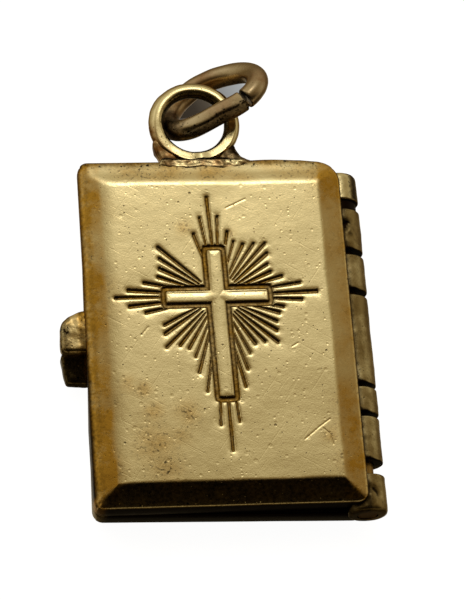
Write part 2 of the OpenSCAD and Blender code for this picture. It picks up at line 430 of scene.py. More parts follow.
# The covers: two shallow trays pressed from gold sheet, each with a bevel round its face. Years in a
# pocket have rounded the edges, most of all at the fore-edge.
pale_gold = (0.95, 0.75, 0.35)
brown_tarnish = (0.66, 0.34, 0.04)
cover_w = 11.2
cover_h = 15.2
book_t = 2.5
rim_gap = 0.06
cover_t = (book_t - rim_gap) / 2
bevel_w = 1.0
bevel_h = 0.25
face_t = 0.5
wall_t = 0.5
half_w = cover_w / 2
half_h = cover_h / 2
mesh_step = 0.2
edge_step = 0.1
edge_band = 1.7
rim_band = 0.3
rim_turns = np.radians([15, 30, 45, 60, 75, 90])
crease_step = 0.035
crease_lines = 5
crease_waves = (0.7, 0.05)
seed_steps = (7.3, 3.1, 5.7)
sharp_deg = 50
lip = book_t - cover_t
roof = book_t - face_t
tray_wall = [
    (0, lip + 0.35), (0, lip + 0.10), (0.03, lip + 0.03), (0.10, lip), (wall_t - 0.06, lip),
    (wall_t, lip + 0.06), (wall_t, roof - 0.2), (wall_t + 0.06, roof - 0.06), (wall_t + 0.2, roof),
]


def points_of(bm):
    """The places of a mesh's vertices as rows of a table."""
    return np.array([v.co[:] for v in bm.verts])


def move_to(bm, places):
    """Moves a mesh's vertices to the rows of a table."""
    for vert, spot in zip(bm.verts, places):
        vert.co = spot


def clouded(points, per_mm, seed):
    """Smooth noise between -1 and 1 at each point."""
    shift = Vector([seed * step for step in seed_steps])
    return np.array([noise.noise(Vector(p) * per_mm + shift) for p in points])


def rippled(points, waves):
    """Smooth noise at each point, summed from waves: how many a millimetre, the seed and the height."""
    return sum(clouded(points, per_mm, seed) * height for per_mm, seed, height in waves)


def rising(value, start, width):
    """A share that rises from 0 at a start to 1 a width further on."""
    return np.clip((value - start) / width, 0, 1)


def falling(value, end, width):
    """A share that falls from 1 to 0 over the width before an end."""
    return np.clip((end - value) / width, 0, 1)


def around(value, middle, reach):
    """A share that is 1 at a middle, and fades away within a reach or two of it."""
    return np.exp(-(((value - middle) / reach) ** 2))


def from_edges(x, y):
    """Distance of each place from the book's fore-edge, hinge edge, head and tail."""
    return x + half_w, half_w - x, half_h - y, y + half_h


def grid_lines(half):
    """Places of the mesh's lines across a cover: fine at the bevel, and finer where the rim turns down."""
    rim = half - rim_band + np.sin(rim_turns) * rim_band
    band = np.arange(half - edge_band, half - rim_band + edge_step / 2, edge_step)
    crease = half - bevel_w + np.arange(-crease_lines, crease_lines + 1) * crease_step
    band = np.concatenate([band[np.abs(band - half + bevel_w) > crease_step * (crease_lines + 0.5)], crease])
    band.sort()
    middle = np.linspace(0, half - edge_band, round((half - edge_band) / mesh_step) + 1)[:-1]
    side = np.concatenate([middle, band, rim])
    return np.concatenate([-side[:0:-1], side])


def soft_min(a, b, blend):
    """The lower of two heights, with the crease between them rounded."""
    share = np.clip(0.5 + 0.5 * (b - a) / blend, 0, 1)
    return b + (a - b) * share - blend * share * (1 - share)


def cover_tray(wear, corners, seed):
    """A cover as a tray, face up at the book's thickness. Wear gives, for the fore-edge, hinge edge,
    head and tail in turn, how much the face's edge is rounded and the radius of the rim. Corners gives
    the radius of each corner in plan, by its side across and its end, -1 or 1."""
    xs = grid_lines(half_w)
    ys = grid_lines(half_h)
    tray = bmesh.new()
    bmesh.ops.create_grid(tray, x_segments=len(xs) - 1, y_segments=len(ys) - 1, size=1)
    flat = points_of(tray)
    x = np.interp(flat[:, 0], np.linspace(-1, 1, len(xs)), xs)
    y = np.interp(flat[:, 1], np.linspace(-1, 1, len(ys)), ys)
    per_mm, wave_height = crease_waves
    wavy = clouded(np.stack([x, y, 0 * x], 1), per_mm, seed) * wave_height
    z = np.full(len(x), book_t)
    drop = np.zeros(len(x))
    for inward, (blend, rim) in zip(from_edges(x, y), wear):
        z = soft_min(z, book_t - bevel_h + bevel_h / bevel_w * (inward + wavy), blend)
        drop = np.maximum(drop, rim * (1 - np.sqrt(1 - falling(inward, rim, rim) ** 2)))
    for (side, end), radius in corners.items():
        corner_x = np.clip(side * x - half_w + radius, 0, None)
        corner_y = np.clip(end * y - half_h + radius, 0, None)
        reach = np.maximum(np.hypot(corner_x, corner_y), 1e-9)
        pull = np.where((corner_x > 0) & (corner_y > 0), 1 - np.maximum(corner_x, corner_y) / reach, 0)
        x = x - side * corner_x * pull
        y = y - end * corner_y * pull
    move_to(tray, np.stack([x, y, z - drop], 1))
    loop = [edge for edge in tray.edges if edge.is_boundary]
    before = 0
    for inset, height in tray_wall:
        made = bmesh.ops.extrude_edge_only(tray, edges=loop)["geom"]
        loop = [part for part in made if isinstance(part, bmesh.types.BMEdge)]
        closer = Vector(((half_w - inset) / (half_w - before), (half_h - inset) / (half_h - before), 1))
        for vert in {vert for edge in loop for vert in edge.verts}:
            vert.co = vert.co * closer
            vert.co.z = height
        before = inset
    bmesh.ops.contextual_create(tray, geom=loop)
    bmesh.ops.recalc_face_normals(tray, faces=tray.faces)
    return tray


def finished(name, bm, finish, body, stands_for, tarnish_and_painted_light=None, dirt_and_shade=None):
    """Turns a mesh in millimetres into a piece of the charm that rides on a body."""
    mesh = bpy.data.meshes.new(name)
    bm.to_mesh(mesh)
    bm.free()
    mesh.transform(Matrix.Scale(MM, 4))
    mesh.shade_smooth()
    mesh.set_sharp_from_angle(angle=math.radians(sharp_deg))
    for label, values in (("tarnish_and_painted_light", tarnish_and_painted_light), ("dirt_and_shade", dirt_and_shade)):
        layer = mesh.attributes.new(label, "FLOAT", "POINT")
        filled = np.zeros(len(mesh.vertices)) if values is None else values
        layer.data.foreach_set("value", np.clip(filled, 0, 1).astype(np.float32))
    mesh.materials.append(finish)
    piece = bpy.data.objects.new(name, mesh)
    scene.collection.objects.link(piece)
    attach(piece, body)
    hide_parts(stands_for)
    return piece


# The hinge: seven knuckles on one pin, four soldered to the plain cover and three to the engraved one,
# each turning in a hollow filed in the other cover's wall. The slits between them are black with painted
# shade and some dirt.
barrel_r = 0.85
barrel_sides = 64
axis_x = half_w + 0.03
axis_z = book_t / 2
pin_r = 0.4
pin_clear = 0.04
bore_r = pin_r + pin_clear
knuckle_clear = 0.06
hollow_r = barrel_r + knuckle_clear
knuckles = [
    (7.22, 5.93), (5.46, 3.63), (3.38, 1.80), (1.55, -2.36), (-2.54, -3.66), (-3.84, -5.71), (-6.33, -7.90),
]
head_end = knuckles[0][0]
first_slit = (knuckles[0][1], knuckles[1][0])
last = len(knuckles) - 1
tail_end = knuckles[last][1]
past_the_tail = 1.0
hollow_dirt_depth = 0.06
hollow_dirt_fade = 0.04


def from_axis(spots):
    """Distance of each point from the hinge's axis."""
    return np.hypot(spots[:, 0] - axis_x, spots[:, 2] - axis_z)


def add_round(bm, radius, north, south):
    """Adds a round bar along the hinge's axis, from one place along it to another."""
    middle = Matrix.Translation((axis_x, (north + south) / 2, axis_z)) @ Matrix.Rotation(math.pi / 2, 4, "X")
    bmesh.ops.create_cone(
        bm, cap_ends=True, segments=barrel_sides, radius1=radius, radius2=radius, depth=north - south,
        matrix=middle,
    )


def cut_hollows(tray, first):
    """Files the hollows for the other cover's knuckles out of a tray, and gives the new mesh."""
    mesh = bpy.data.meshes.new("tray")
    tray.to_mesh(mesh)
    tray.free()
    held = bpy.data.objects.new("tray", mesh)
    scene.collection.objects.link(held)
    file_bm = bmesh.new()
    for i in range(first, last + 1, 2):
        north = head_end + knuckle_clear if i == 0 else knuckles[i - 1][1]
        south = -half_h - past_the_tail if i == last else knuckles[i + 1][0]
        add_round(file_bm, hollow_r, north, south)
    file_mesh = bpy.data.meshes.new("round file")
    file_bm.to_mesh(file_mesh)
    file_bm.free()
    file = bpy.data.objects.new("round file", file_mesh)
    scene.collection.objects.link(file)
    cut = held.modifiers.new("hollows", "BOOLEAN")
    cut.operation = "DIFFERENCE"
    cut.solver = "EXACT"
    cut.object = file
    made = bmesh.new()
    made.from_object(held, bpy.context.evaluated_depsgraph_get())
    bpy.data.objects.remove(held)
    bpy.data.objects.remove(file)
    return made


def hollow_dirt_and_shade(spots):
    """Dirt and painted shade in the hollows that the other cover's knuckles turn in."""
    return falling(from_axis(spots), hollow_r + hollow_dirt_depth, hollow_dirt_fade)


# A knuckle's worn tube, in millimetres, and in degrees round from its top
knuckle_step = 0.08
head_round = 0.24
head_taper = 0.02
tail_round = 0.18
nearly_all = 0.97
slit_shade_filler_r = 0.72
slit_shade_filler_slack = 0.01
skin = 0.12
touching = 0.01
square_turn = 1
barrel_sink = 0.014
solder_edge = axis_x + 0.55
solder_fade = 0.3
solder_per_mm = 3.2
crest_deg = 12
on_crest = 12
crest_fade = 14
band_deg = 34
band_fade = 16

# Where a knuckle is tarnished and dirty, and where shade and a highlight are painted on it
knuckle_tarnish = 0.85
solder_tarnish = 0.7
brown_stretch = (-4.8, 0.9)
brown_stretch_tarnish = 0.5
crest_highlight_and_flank_tarnish = (1.2, -0.2)
flank_painted_shade = 0.9
cover_side = axis_x + 0.13
cover_side_fade = 0.14
cover_side_dirt_and_shade = 0.65
end_face_r = barrel_r - 0.035
end_face_fade = 0.02
end_reach = 0.1
outer_end_dirt = 0.1
solder_dirt = 0.36
slit_shadow_wedge = 0.22
wedge_side = axis_x + 0.5
wedge_fade = 0.6
wedge_edge = 0.06
before_slit = 0.02
slit_shade_filler_from = 0.005
first_from = 0.04


def knuckle_row(first, seed, end_round, solder):
    """The tubes that one cover carries along the hinge, with worn ends. Solder gives the place along the
    hinge, the reach and the height of the lumps that were left on them. The first knuckle of all, at the
    head, is worn round at its end. Its crest is left bare for a painted highlight, with a band of painted
    shade beside it, and a black filler of painted shade stands in the slit after it."""
    row = bmesh.new()
    for i in range(first, last + 1, 2):
        north, south = knuckles[i]
        outer = [(barrel_r, y) for y in np.linspace(north, south, round((north - south) / knuckle_step) + 1)]
        outline = [(bore_r, north)] + outer + [(bore_r, south)]
        profile = [row.verts.new((axis_x + r, y, axis_z)) for r, y in outline]
        sides = [row.edges.new(pair) for pair in zip(profile, profile[1:] + profile[:1])]
        bmesh.ops.spin(
            row, geom=profile + sides, cent=(axis_x, 0, axis_z), axis=(0, 1, 0), angle=math.tau,
            steps=barrel_sides, use_merge=True,
        )
    # A black filler in the first slit, between the first knuckle and the second: painted shade
    if first == 0:
        add_round(row, slit_shade_filler_r, first_slit[0] - slit_shade_filler_slack, first_slit[1] + slit_shade_filler_slack)
    bmesh.ops.recalc_face_normals(row, faces=row.faces)
    outer_rims = [
        edge for edge in row.edges
        if all(math.hypot(v.co.x - axis_x, v.co.z - axis_z) > barrel_r - touching for v in edge.verts)
        and abs(edge.verts[0].co.y - edge.verts[1].co.y) < touching and edge.calc_face_angle() > square_turn
    ]
    bmesh.ops.bevel(
        row, geom=outer_rims, offset=end_round, segments=4, profile=0.5, material=-1, affect="EDGES"
    )
    spots = points_of(row)
    x, y, z = spots.T
    dent = rippled(spots, ((1.3, seed, 0.022), (4.0, seed + 1, 0.008))) - barrel_sink
    place, reach, lump = solder
    soldered = around(y, place, reach) * falling(x, solder_edge, solder_fade)
    dent += soldered * clouded(spots, solder_per_mm, seed + 2) * lump
    to_head = rising(y, head_end - head_round, head_round)
    to_tail = falling(y, tail_end + tail_round, tail_round)
    on_first = rising(y, first_slit[0], head_end - first_slit[0])
    dent -= head_round * (1 - np.sqrt(1 - nearly_all * to_head ** 2)) + head_taper * on_first ** 2
    dent -= tail_round * (1 - np.sqrt(1 - nearly_all * to_tail ** 2))
    away = spots - np.array([axis_x, 0, axis_z])
    away[:, 1] = 0
    outside = (from_axis(spots) > barrel_r - skin)[:, None]
    spots = spots + np.where(outside, away / from_axis(spots)[:, None] * dent[:, None], 0)
    move_to(row, spots)
    x, y, z = spots.T
    first_one = on_first > first_from
    off_crest = np.abs(np.degrees(np.arctan2(x - axis_x, z - axis_z)) - crest_deg)
    most, least = crest_highlight_and_flank_tarnish
    tarnish_and_painted_light = knuckle_tarnish + rippled(spots, ((1.1, seed + 3, 0.5),)) + soldered * solder_tarnish
    tarnish_and_painted_light += around(y, *brown_stretch) * brown_stretch_tarnish
    # On the first knuckle the crest is left bare of tarnish, a painted highlight, and the tarnish rises on
    # its flanks.
    tarnish_and_painted_light = np.where(first_one, rising(off_crest, on_crest, crest_fade) * most + least, tarnish_and_painted_light)
    # Dirt and painted shade along the side by the cover, and on the end faces in the slits; the outer ends
    # keep a little dirt.
    by_cover = falling(x, cover_side, cover_side_fade) * (y < first_slit[0])
    on_end = falling(from_axis(spots), end_face_r, end_face_fade)
    outer_end = (y < tail_end + end_reach) | (y > head_end - end_reach)
    dirt_and_shade = np.maximum(by_cover * cover_side_dirt_and_shade, on_end * np.where(outer_end, outer_end_dirt, 1.0))
    # On the first knuckle, a dark band beside the crest: painted shade.
    dirt_and_shade = np.where(first_one, around(off_crest, band_deg, band_fade) * flank_painted_shade, dirt_and_shade)
    dirt_and_shade += soldered * (solder_dirt + rippled(spots, ((3.4, seed + 4, 0.3),)))
    # A black wedge above each slit, widest by the cover: a painted shadow
    inward = falling(x, wedge_side, wedge_fade)
    for _, south in knuckles[1:last]:
        above = y - south
        slit_shadow = falling(above, slit_shadow_wedge * inward + wedge_edge / 2, wedge_edge) * (above > -before_slit)
        dirt_and_shade = np.maximum(dirt_and_shade, slit_shadow)
    # The filler in the first slit is black all over: painted shade.
    in_slit_shade_filler = (y < first_slit[0] - slit_shade_filler_from) & (y > first_slit[1] + slit_shade_filler_from) & (first == 0)
    return row, tarnish_and_painted_light, np.where(in_slit_shade_filler, 1.0, dirt_and_shade)


# The engraved cover is the upper one. Its face carries a raised cross inside a cut channel, in a burst
# of rays cut by hand with a graver, which leaves broad floors, round ends and worn shoulders.
front_wear = ((0.15, 0.30), (0.022, 0.16), (0.045, 0.12), (0.018, 0.11))
front_corners = {(-1, -1): 0.4, (-1, 1): 0.5, (1, -1): 0.5, (1, 1): 0.95}
face_finish = gold_finish(
    "engraved face gold", pale_gold, brown_tarnish, tarnish_share=0.03, polish=0.15, pitting=0.6,
    scratching=0.25,
)

# The rays, as the degrees that each is turned from the hinge side and its reach from the crossing
crossing = np.array([0.0, 1.4])
ray_start = 0.95
ray_half = 0.074
ray_root_half = 0.032
ray_variety = 0.16
ray_variety_step = 2.4
root_depth = 0.6
rays = [
    (87, 3.65), (79, 3.0), (72, 2.62), (63, 2.65), (55, 2.9), (48, 3.22), (41, 2.92), (33, 2.62),
    (25, 2.55), (17.5, 2.9), (9, 3.56), (2, 4.2), (-3.5, 3.55), (-11, 2.8), (-17.5, 2.67),
    (-26.5, 2.7), (-34, 2.87), (-42, 3.2), (-49, 2.8), (-57, 2.6), (-66, 2.85), (-73, 3.45),
    (-78, 4.15), (-85, 5.6), (-89, 6.8), (-93, 5.7), (-100, 4.3), (-107, 3.55), (-113, 2.95),
    (-121, 2.72), (-129, 2.82), (-136, 3.26), (-145, 2.9), (-152, 2.7), (-167.5, 3.2), (-174, 3.8),
    (180, 4.36), (175, 3.82), (168, 3.2), (160, 2.7), (152, 2.76), (144, 3.0), (137, 3.34),
    (107, 3.0), (99, 3.65), (92.5, 4.55),
]

# The bars of the cross and of the channel round it, each as its start, its end and its half width
cross_bars = [((-0.09, 3.48), (0.065, -3.07), 0.285), ((-2.20, 1.40), (2.08, 1.42), 0.255)]
channel_bars = [((-0.035, 3.72), (0.055, -3.22), 0.525), ((-2.37, 1.39), (2.28, 1.45), 0.505)]
channel_half = 0.13
channel_round = 0.05
channel_edge = 0.05
pillow_round = 0.1
bar_tilt = 0.06
tilt_middle = crossing[1] - 0.1
tilt_rise = 0.1
tilt_from = cross_bars[0][2] - 0.05
tilt_fade = 0.35

# The cuts and the old scratches
cut_depth = 0.075
floor_reach = 0.85
floor_part = 0.72
shoulder_reach = 1.8
grime_edge = (1.08, 0.25)
grime_floor = 0.62
grime_corner = 0.36
corner_from = 0.8
scratch_half = 0.03
scratch_depth = 0.007
old_scratches = [
    ((0.6, 5.38), (1.43, 5.78)), ((3.1, -4.95), (3.75, -4.42)), ((3.75, -4.42), (4.2, -4.1)),
    ((3.9, -4.5), (4.15, -4.75)), ((4.15, -4.75), (4.25, -5.2)),
    ((-3.3, -0.25), (-3.0, 0.1)), ((2.9, -0.9), (3.15, -0.75)),
]
far_away = 99.0


def along(x, y, start, end):
    """How far along a line each point lies, from 0 to 1, and its distance from the line."""
    way = np.subtract(end, start)
    share = np.clip(((x - start[0]) * way[0] + (y - start[1]) * way[1]) / (way @ way), 0, 1)
    return share, np.hypot(x - start[0] - share * way[0], y - start[1] - share * way[1])


def to_bars(x, y, bars, rounding):
    """Distance from the outline of crossed bars with slightly round corners, negative inside them."""
    nearest = np.full(len(x), far_away)
    for start, end, half in bars:
        way = np.subtract(end, start)
        length = math.hypot(*way)
        way = way / length
        run = (x - start[0]) * way[0] + (y - start[1]) * way[1] - length / 2
        side = (y - start[1]) * way[0] - (x - start[0]) * way[1]
        over = np.stack([np.abs(run) - length / 2, np.abs(side) - half]) + rounding
        inner = np.minimum(over.max(0), 0)
        nearest = np.minimum(nearest, inner + np.hypot(*np.maximum(over, 0)) - rounding)
    return nearest


def ray_ends(turn, reach):
    """Where a ray starts and ends on the face."""
    way = np.array([math.cos(math.radians(turn)), math.sin(math.radians(turn))])
    return crossing + way * ray_start, crossing + way * (reach - ray_half)


def cut_profile(distance, half):
    """Depth of a graver's cut, from 0 to 1: a broad floor, steep sides and worn shoulders."""
    floor = np.exp(-((distance / (floor_reach * half)) ** 6))
    shoulder = np.exp(-((distance / (shoulder_reach * half)) ** 2))
    return floor_part * floor + (1 - floor_part) * shoulder


def grime(distance, half):
    """Dirt in a cut, from 0 to 1: thick in its corners and thinner on its floor."""
    in_corner = np.clip(distance / (corner_from * half), 0, 1) ** 2
    return falling(distance / half, *grime_edge) * (grime_floor + grime_corner * in_corner)


def engraved(x, y):
    """Change of height over the face, and how much dirt it holds."""
    outer = to_bars(x, y, channel_bars, channel_round)
    inner = to_bars(x, y, cross_bars, pillow_round)
    depth = np.zeros(len(x))
    dirt_and_shade = np.zeros(len(x))
    outside = rising(outer, -channel_edge / 2, channel_edge)
    for number, (turn_deg, reach) in enumerate(rays):
        share, distance = along(x, y, *ray_ends(turn_deg, reach))
        heavy = 1 + ray_variety * math.sin(number * ray_variety_step)
        half = (ray_root_half + (ray_half - ray_root_half) * np.sqrt(share)) * heavy
        deep = cut_depth * (root_depth + (1 - root_depth) * share)
        depth = np.maximum(depth, cut_profile(distance, half) * deep * outside)
        dirt_and_shade = np.maximum(dirt_and_shade, grime(distance, half) * outside)
    for start, end in old_scratches:
        distance = along(x, y, start, end)[1]
        depth = np.maximum(depth, cut_profile(distance, scratch_half) * scratch_depth)
    middle = np.abs(inner + outer) / 2
    depth = np.maximum(depth, cut_profile(middle, channel_half) * cut_depth)
    dirt_and_shade = np.maximum(dirt_and_shade, grime(middle, channel_half))
    sideways = falling(inner, 0, tilt_rise) * rising(np.abs(x), tilt_from, tilt_fade)
    return sideways * (tilt_middle - y) * bar_tilt - depth, dirt_and_shade


def near_cuts(x, y):
    """Distance from the nearest cut line."""
    nearest = np.abs(to_bars(x, y, channel_bars, channel_round))
    nearest = np.minimum(nearest, np.abs(to_bars(x, y, cross_bars, pillow_round)))
    for turn_deg, reach in rays:
        nearest = np.minimum(nearest, along(x, y, *ray_ends(turn_deg, reach))[1])
    for start, end in old_scratches:
        nearest = np.minimum(nearest, along(x, y, start, end)[1])
    return nearest


# Stains on the face, as place, radius and strength: a cloud of brown low on the fore-edge side, amber on
# the bevels, and a few small ones
stains = [
    (-3.4, -2.6, 0.3, 0.7), (-1.6, -3.7, 0.5, 0.6), (-3.0, -3.6, 0.4, 0.5), (-3.0, -5.0, 0.8, 0.6),
    (-2.6, -6.0, 0.6, 0.7), (-2.0, -4.7, 0.4, 0.5),
    (4.2, -4.8, 0.35, 0.5), (-1.2, 4.5, 0.3, 0.5), (0.64, 4.2, 0.2, 0.5), (-4.0, -2.4, 0.35, 0.5),
    (5.1, -4.6, 0.8, 0.5), (5.0, -5.9, 0.7, 0.5), (-5.3, -3.0, 0.8, 0.6), (-5.3, 1.5, 1.2, 0.4),
    (-5.2, -6.0, 0.8, 0.6), (5.0, 6.3, 0.7, 0.35), (-5.2, 5.5, 0.8, 0.4), (4.9, -3.3, 0.6, 0.3),
]


def stained(x, y):
    """Tarnish of the stains at each place on the face."""
    brown = np.zeros(len(x))
    for at_x, at_y, radius, strength in stains:
        spread = np.exp(-(((x - at_x) ** 2 + (y - at_y) ** 2) / radius ** 2))
        brown = np.maximum(brown, spread * strength)
    return brown


# The tray's walls aren't true: the fore-edge slants in below its rim and is pressed hollow towards the
# head, and a bead of solder runs along the head under the hanging ring
fore_rim_z = 2.15
fore_slant = 0.13
slant_from = (-4.0, 3.0)
fore_hollow = 0.045
hollow_from = (1.0, 2.0)
head_bead = 0.08
head_bead_end = (4.9, 0.9)
solder_bead = 0.06
solder_bead_at = (2.6, 1.1)
tray = cover_tray(front_wear, front_corners, 1)
spots = points_of(tray)
from_fore, from_hinge, from_head, from_tail = from_edges(spots[:, 0], spots[:, 1])
below_rim = falling(spots[:, 2], fore_rim_z, fore_rim_z - lip)
on_fore_wall = falling(from_fore, wall_t, wall_t / 2)
on_head_wall = falling(from_head, wall_t, wall_t / 2)
slanted = fore_slant * below_rim * rising(spots[:, 1], *slant_from)
pressed = fore_hollow * rising(spots[:, 1], *hollow_from)
spots[:, 0] += (slanted + pressed) * on_fore_wall
bead = head_bead * falling(spots[:, 0], *head_bead_end) + solder_bead * around(spots[:, 0], *solder_bead_at)
spots[:, 1] += bead * on_head_wall
move_to(tray, spots)
tray = cut_hollows(tray, 0)

# The mesh is made finer round the cuts, and then engraved
fine_cuts = 6
fine_margin = 0.22
face_up = 0.9
face_depth = 0.1
face_swell = ((0.45, 3, 0.012), (1.6, 4, 0.0025))
tray.faces.ensure_lookup_table()
middles = np.array([face.calc_center_median()[:] for face in tray.faces])
upward = np.array([face.normal.z for face in tray.faces])
on_face = (upward > face_up) & (middles[:, 2] > book_t - face_depth)
on_face &= near_cuts(middles[:, 0], middles[:, 1]) < fine_margin
cut_edges = {edge for index in np.flatnonzero(on_face) for edge in tray.faces[index].edges}
bmesh.ops.subdivide_edges(tray, edges=list(cut_edges), cuts=fine_cuts, use_grid_fill=True)
spots = points_of(tray)
top = spots[:, 2] > book_t - bevel_h - face_depth
carved, cut_dirt = engraved(spots[:, 0], spots[:, 1])
spots[:, 2] += np.where(top, carved, 0)
spots[:, 2] += np.where(top, rippled(spots, face_swell), 0)
move_to(tray, spots)

# Where the cover is tarnished and dirty, and where shade and a highlight are painted. A band is named for
# the edge that it follows, and given as the distance from the edge at which it ends and the width over
# which it fades.
from_fore, from_hinge, from_head, from_tail = from_edges(spots[:, 0], spots[:, 1])
from_sides = np.minimum(from_fore, from_hinge)
from_ends = np.minimum(from_head, from_tail)
side_band = (bevel_w + 0.05, 0.15)
head_rim_band = (0.2, 0.15)
head_band = (bevel_w, 0.1)
head_dirt_band = (0.3, 0.25)
hinge_rim_band = (0.13, 0.09)
tail_band = (bevel_w + 0.02, 0.06)
mitre_fade = 0.06
tail_highlight_line = (0.05, 0.06)
crease_line = (0.72, 0.27)
fore_wall_band = (0.3, 0.25)
outer_fore_band = (0.62, 0.2)
corner_band = (0.6, 0.3)
tail_half = (0.5, 2.0)
down_bevel = falling(np.minimum(from_sides, from_ends), bevel_w, bevel_w)
beside = falling(from_sides, bevel_w, bevel_w)
on_side_bevel = falling(from_sides, *side_band)
head_rim = falling(from_head, *head_rim_band)
head_bevel = falling(from_head, *head_band)
tail_bevel = falling(from_tail, *tail_band) * rising(from_sides - from_tail, -mitre_fade / 2, mitre_fade)
# A thin line along the tail's rim is kept clear of tarnish and dirt: a painted highlight.
tail_rim_painted_highlight = around(from_tail, *tail_highlight_line) * top
to_tail_rim = falling(from_tail, bevel_w, bevel_w)
by_crease = around(from_fore, *crease_line)
fore_wall = falling(from_fore, *fore_wall_band)
outer_fore = falling(from_fore, *outer_fore_band)
corner = falling(from_fore, *corner_band) * falling(from_tail, *corner_band)
cut_dirt = np.where(top, cut_dirt, 0)
in_stain = stained(spots[:, 0], spots[:, 1])
drifting = clouded(spots, 0.9, 61)

# Tarnish: a base and a drifting part on each bevel, in the crease of the fore-edge and in the stains, and
# brown painted shade on the tail's bevel
bevel_tarnish = 0.12
beside_tarnish = 0.15
side_tarnish = 0.32
hinge_side_tarnish = 0.08
side_drift = 0.3
head_tarnish = 0.18
head_drift = 0.5
head_rim_tarnish = 0.5
cut_tarnish = 1.3
stain_on_flat = 0.85
wall_tarnish = 0.3
crease_tarnish = 0.38
crease_drift = 0.4
crease_by_y = 0.04
tail_painted_shade_brown = 0.6
outer_fore_tarnish = 0.5
corner_tarnish = 0.3
side_of = np.sign(spots[:, 0])
face_tarnish_and_shade = down_bevel * bevel_tarnish + beside * beside_tarnish + head_rim * head_rim_tarnish
face_tarnish_and_shade += on_side_bevel * (side_tarnish + hinge_side_tarnish * side_of + side_drift * drifting)
face_tarnish_and_shade += head_bevel * (head_tarnish + head_drift * drifting) + cut_dirt * cut_tarnish
face_tarnish_and_shade += np.where(top, np.where(down_bevel > 0, in_stain, in_stain * stain_on_flat), wall_tarnish)
creased = crease_tarnish + crease_drift * drifting - crease_by_y * spots[:, 1]
face_tarnish_and_shade += by_crease * np.clip(creased, 0, 1)
# Brown painted shade on the tail's bevel, left off a thin line on its rim
face_tarnish_and_shade = (face_tarnish_and_shade + tail_bevel * tail_painted_shade_brown) * (1 - tail_rim_painted_highlight)
face_tarnish_and_shade += outer_fore * outer_fore_tarnish + corner * corner_tarnish

# Dirt: in the cuts and stains, and along the rims. The black on the tail's bevel and wall is painted shade,
# and the dark along the hinge-side rim and in the hollows is dirt and painted shade.
head_rim_dirt = 0.48
head_dirt = 0.3
head_dirt_more = 0.2
hinge_rim_dirt_and_shade = 0.65
tail_painted_shade_black = 0.93
tail_painted_shade_less = 0.07
stain_dirt = 0.42
outer_fore_dirt = 0.32
outer_fore_drift = 0.1
fore_wall_dirt = 0.34
fore_wall_tail_dirt = 0.25
corner_clean = 0.75
face_dirt_and_shade = cut_dirt + falling(from_head, *head_dirt_band) * head_rim_dirt
face_dirt_and_shade += head_bevel * np.clip(drifting + head_dirt_more, 0, 1) * head_dirt
# Dirt and painted shade along the hinge-side rim, by the barrel
face_dirt_and_shade += falling(from_hinge, *hinge_rim_band) * hinge_rim_dirt_and_shade
# Black painted shade on the tail's bevel and wall, left off a thin line on its rim
face_dirt_and_shade += tail_bevel * np.where(top, tail_painted_shade_black - tail_painted_shade_less * to_tail_rim, 1) * (1 - tail_rim_painted_highlight)
face_dirt_and_shade += hollow_dirt_and_shade(spots) + np.where(down_bevel > 0, 0, in_stain * stain_dirt)
face_dirt_and_shade += outer_fore * (outer_fore_dirt + outer_fore_drift * drifting)
face_dirt_and_shade += fore_wall ** 2 * (fore_wall_dirt + fore_wall_tail_dirt * falling(spots[:, 1], *tail_half))
face_dirt_and_shade *= 1 - corner_clean * corner
finished("engraved_cover_shell", tray, face_finish, "front", "engraved_cover", face_tarnish_and_shade, face_dirt_and_shade)

hinge_tarnish = (0.35, 0.235, 0.08)
hinge_finish = gold_finish(
    "hinge gold", pale_gold, hinge_tarnish, tarnish_share=0.05, polish=0.20, pitting=0.6, scratching=0.2,
)
row, tarnish_and_painted_light, dirt_and_shade = knuckle_row(1, 5, end_round=0.04, solder=(4.7, 0.75, 0.11))
finished("engraved_cover_knuckles", row, hinge_finish, "front", "engraved_cover", tarnish_and_painted_light, dirt_and_shade)


# The thumb pieces: two small blocks soldered to the fore-edge, one on each cover, worn round by the
# thumbs that opened the book. The lower one starts under the upper one, and slopes down to the tail.
upper_thumb = [
    (-5.3, 1.12), (-5.6, 1.12), (-6.3, 0.85), (-6.58, 0.5), (-6.6, -0.75), (-6.4, -0.8), (-5.3, -0.8),
]
splits = ((0.15, 2), (0.12, 1), (0.08, 1))
smoothings = 5
fine_dents = 0.35


def worn_block(outline, low, high, rounding, seed, dents, shape=None):
    """A block of metal with its outline in plan, its edges rounded and its sides dented by wear."""
    block = bmesh.new()
    face = block.faces.new([block.verts.new((x, y, low)) for x, y in outline])
    raised = bmesh.ops.extrude_face_region(block, geom=[face])["geom"]
    lifted = [part for part in raised if isinstance(part, bmesh.types.BMVert)]
    bmesh.ops.translate(block, verts=lifted, vec=(0, 0, high - low))
    bmesh.ops.recalc_face_normals(block, faces=block.faces)
    if shape:
        for vert in block.verts:
            vert.co = shape(vert.co)
    wanted = points_of(block)
    bmesh.ops.bevel(
        block, geom=list(block.edges), offset=rounding, segments=4, profile=0.5, material=-1, affect="EDGES"
    )
    bmesh.ops.triangulate(block, faces=[face for face in block.faces if len(face.verts) > 4])
    for longest, cuts in splits:
        long_edges = [edge for edge in block.edges if edge.calc_length() > longest]
        bmesh.ops.subdivide_edges(block, edges=long_edges, cuts=cuts, use_grid_fill=True)
    for _ in range(smoothings):
        bmesh.ops.smooth_vert(
            block, verts=block.verts, factor=0.5, use_axis_x=True, use_axis_y=True, use_axis_z=True
        )
    block.normal_update()
    spots = points_of(block)
    ways = np.array([vert.normal[:] for vert in block.verts])
    dent = rippled(spots, ((1.6, seed, dents), (5.0, seed + 1, dents * fine_dents)))
    spots += ways * dent[:, None]
    size = (wanted.max(0) - wanted.min(0)) / (spots.max(0) - spots.min(0))
    move_to(block, wanted.min(0) + (spots - spots.min(0)) * size)
    return block


